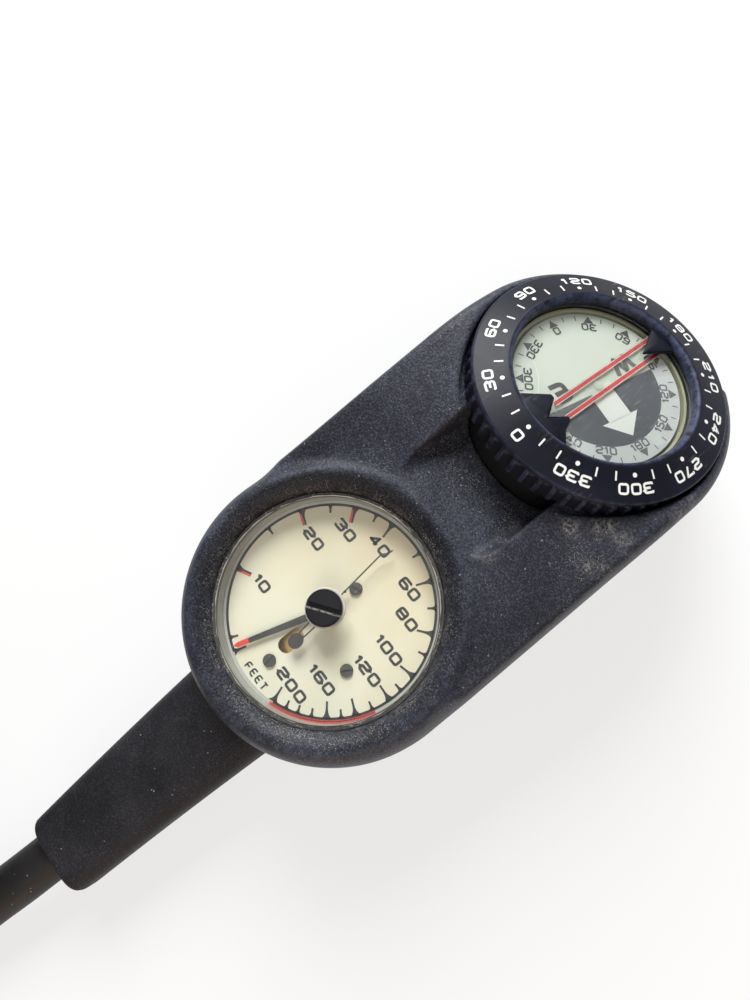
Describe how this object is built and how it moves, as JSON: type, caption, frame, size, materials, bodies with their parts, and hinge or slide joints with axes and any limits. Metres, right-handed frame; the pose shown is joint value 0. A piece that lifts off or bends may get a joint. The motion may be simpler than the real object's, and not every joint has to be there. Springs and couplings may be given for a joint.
{
  "type": "diving instrument console",
  "caption": "Moulded rubber console with a depth gauge, a tilted compass with turning bezel, a rear pressure gauge and its high-pressure hose.",
  "frame": {"origin": "on the plane the console's back rests on, under the middle of the console without its hose", "axes": "+Z out of the depth gauge's dial, +Y along the console from the hose to the compass, +X to the right as the dial is read"},
  "size_m": [0.1568, 0.33, 0.0549],
  "materials": {
    "boot_rubber": "matt moulded rubber",
    "case_plastic": "smoky clear plastic",
    "lens": "clear",
    "rehaut": "satin",
    "dial_cream": "matt luminous paint",
    "black_metal": "satin black",
    "movement_brass": "turned",
    "tube_bronze": "drawn",
    "link_steel": "bright",
    "seal_rubber": "smooth",
    "needle_red": "satin",
    "fitting_chrome": "plated",
    "hose_rubber": "wrapped cover",
    "compass_plastic": "moulded",
    "bezel_plastic": "moulded, worn",
    "card_lume": "printed",
    "magnet": "ground",
    "line_red": "printed",
    "liner_cream": "moulded"
  },
  "bodies": {
    "console": {"boot": "boot_rubber", "depth_case": "case_plastic", "depth_diaphragm": "seal_rubber", "diaphragm_ring": "link_steel", "depth_lens": "lens", "depth_rehaut": "rehaut", "depth_dial": "dial_cream", "depth_dial_screws": "black_metal", "depth_top_plate": "movement_brass", "depth_bottom_plate": "movement_brass", "depth_socket": "movement_brass", "depth_bourdon_tube": "tube_bronze", "knob_seal": "seal_rubber", "pressure_case": "case_plastic", "pressure_lens": "lens", "pressure_rehaut": "rehaut", "pressure_dial": "dial_cream", "pressure_dial_screws": "black_metal", "pressure_top_plate": "movement_brass", "pressure_bottom_plate": "movement_brass", "pressure_socket": "movement_brass", "pressure_bourdon_tube": "tube_bronze", "blowout_plug": "seal_rubber", "hose_end_fitting": "fitting_chrome", "swivel_nut": "fitting_chrome", "hose_ferrule": "fitting_chrome", "hose": "hose_rubber", "hose_coil": "hose_rubber", "supply_ferrule": "fitting_chrome", "supply_fitting": "fitting_chrome", "supply_seal": "seal_rubber", "compass_housing": "compass_plastic", "compass_diaphragm": "seal_rubber", "capsule_liner": "liner_cream", "pivot_post": "movement_brass", "compass_window": "lens", "window_seal": "seal_rubber", "lubber_plate": "lens", "lubber_lines": "line_red", "bezel_wire": "link_steel"},
    "depth_pointer": {"depth_needle": "black_metal", "depth_pinion": "movement_brass"},
    "depth_sector_arm": {"depth_sector": "movement_brass"},
    "depth_link_arm": {"depth_link": "link_steel"},
    "greatest_depth_hand": {"reset_knob": "black_metal", "max_hand": "black_metal"},
    "pressure_pointer": {"pressure_needle": "needle_red", "pressure_pinion": "movement_brass"},
    "pressure_sector_arm": {"pressure_sector": "movement_brass"},
    "pressure_link_arm": {"pressure_link": "link_steel"},
    "bezel": {"compass_bezel": "bezel_plastic"},
    "card": {"compass_card": "card_lume", "card_magnet": "magnet", "card_jewel": "movement_brass"},
    "spool": {"swivel_spool": "movement_brass", "spool_seals": "seal_rubber"}
  },
  "joints": [
    {"name": "depth_needle_turn", "type": "hinge", "parent": "console", "child": "depth_pointer", "pos_m": [0, -0.00533, 0.037], "axis": [0, 0, -1], "range_deg": [0, 322.6]},
    {"name": "depth_sector_turn", "type": "hinge", "parent": "console", "child": "depth_sector_arm", "pos_m": [-0.01169, 0.00142, 0.029], "axis": [0, 0, -1], "range_deg": [-40.4, 0]},
    {"name": "depth_link_turn", "type": "hinge", "parent": "depth_sector_arm", "child": "depth_link_arm", "pos_m": [-0.01474, 0.00539, 0.029], "axis": [0, 0, -1], "range_deg": [0, 36.1]},
    {"name": "depth_hand_turn", "type": "hinge", "parent": "console", "child": "greatest_depth_hand", "pos_m": [0, -0.00533, 0.0395], "axis": [0, 0, -1], "range_deg": [-156, 166.6]},
    {"name": "pressure_needle_turn", "type": "hinge", "parent": "console", "child": "pressure_pointer", "pos_m": [0, -0.00533, 0.0085], "axis": [0, 0, 1], "range_deg": [0, 270]},
    {"name": "pressure_sector_turn", "type": "hinge", "parent": "console", "child": "pressure_sector_arm", "pos_m": [0.01169, 0.00142, 0.0165], "axis": [0, 0, 1], "range_deg": [-33.8, 0]},
    {"name": "pressure_link_turn", "type": "hinge", "parent": "pressure_sector_arm", "child": "pressure_link_arm", "pos_m": [0.01474, 0.00539, 0.0165], "axis": [0, 0, 1], "range_deg": [0, 30.2]},
    {"name": "bezel_turn", "type": "hinge", "parent": "console", "child": "bezel", "pos_m": [0, 0.06843, 0.0458], "axis": [0, 0.3907, 0.9205], "continuous": true},
    {"name": "card_turn", "type": "hinge", "parent": "console", "child": "card", "pos_m": [0, 0.06843, 0.0458], "axis": [0, 0.3907, 0.9205], "continuous": true},
    {"name": "spool_turn", "type": "hinge", "parent": "console", "child": "spool", "pos_m": [0, -0.04333, 0.012], "axis": [0, -1, 0], "continuous": true}
  ],
  "couplings": [
    {"joint": "depth_sector_turn", "follows": "depth_needle_turn", "ratio": -0.125},
    {"joint": "depth_link_turn", "follows": "depth_needle_turn", "ratio": 0.11159},
    {"joint": "pressure_sector_turn", "follows": "pressure_needle_turn", "ratio": -0.125},
    {"joint": "pressure_link_turn", "follows": "pressure_needle_turn", "ratio": 0.11159}
  ]
}
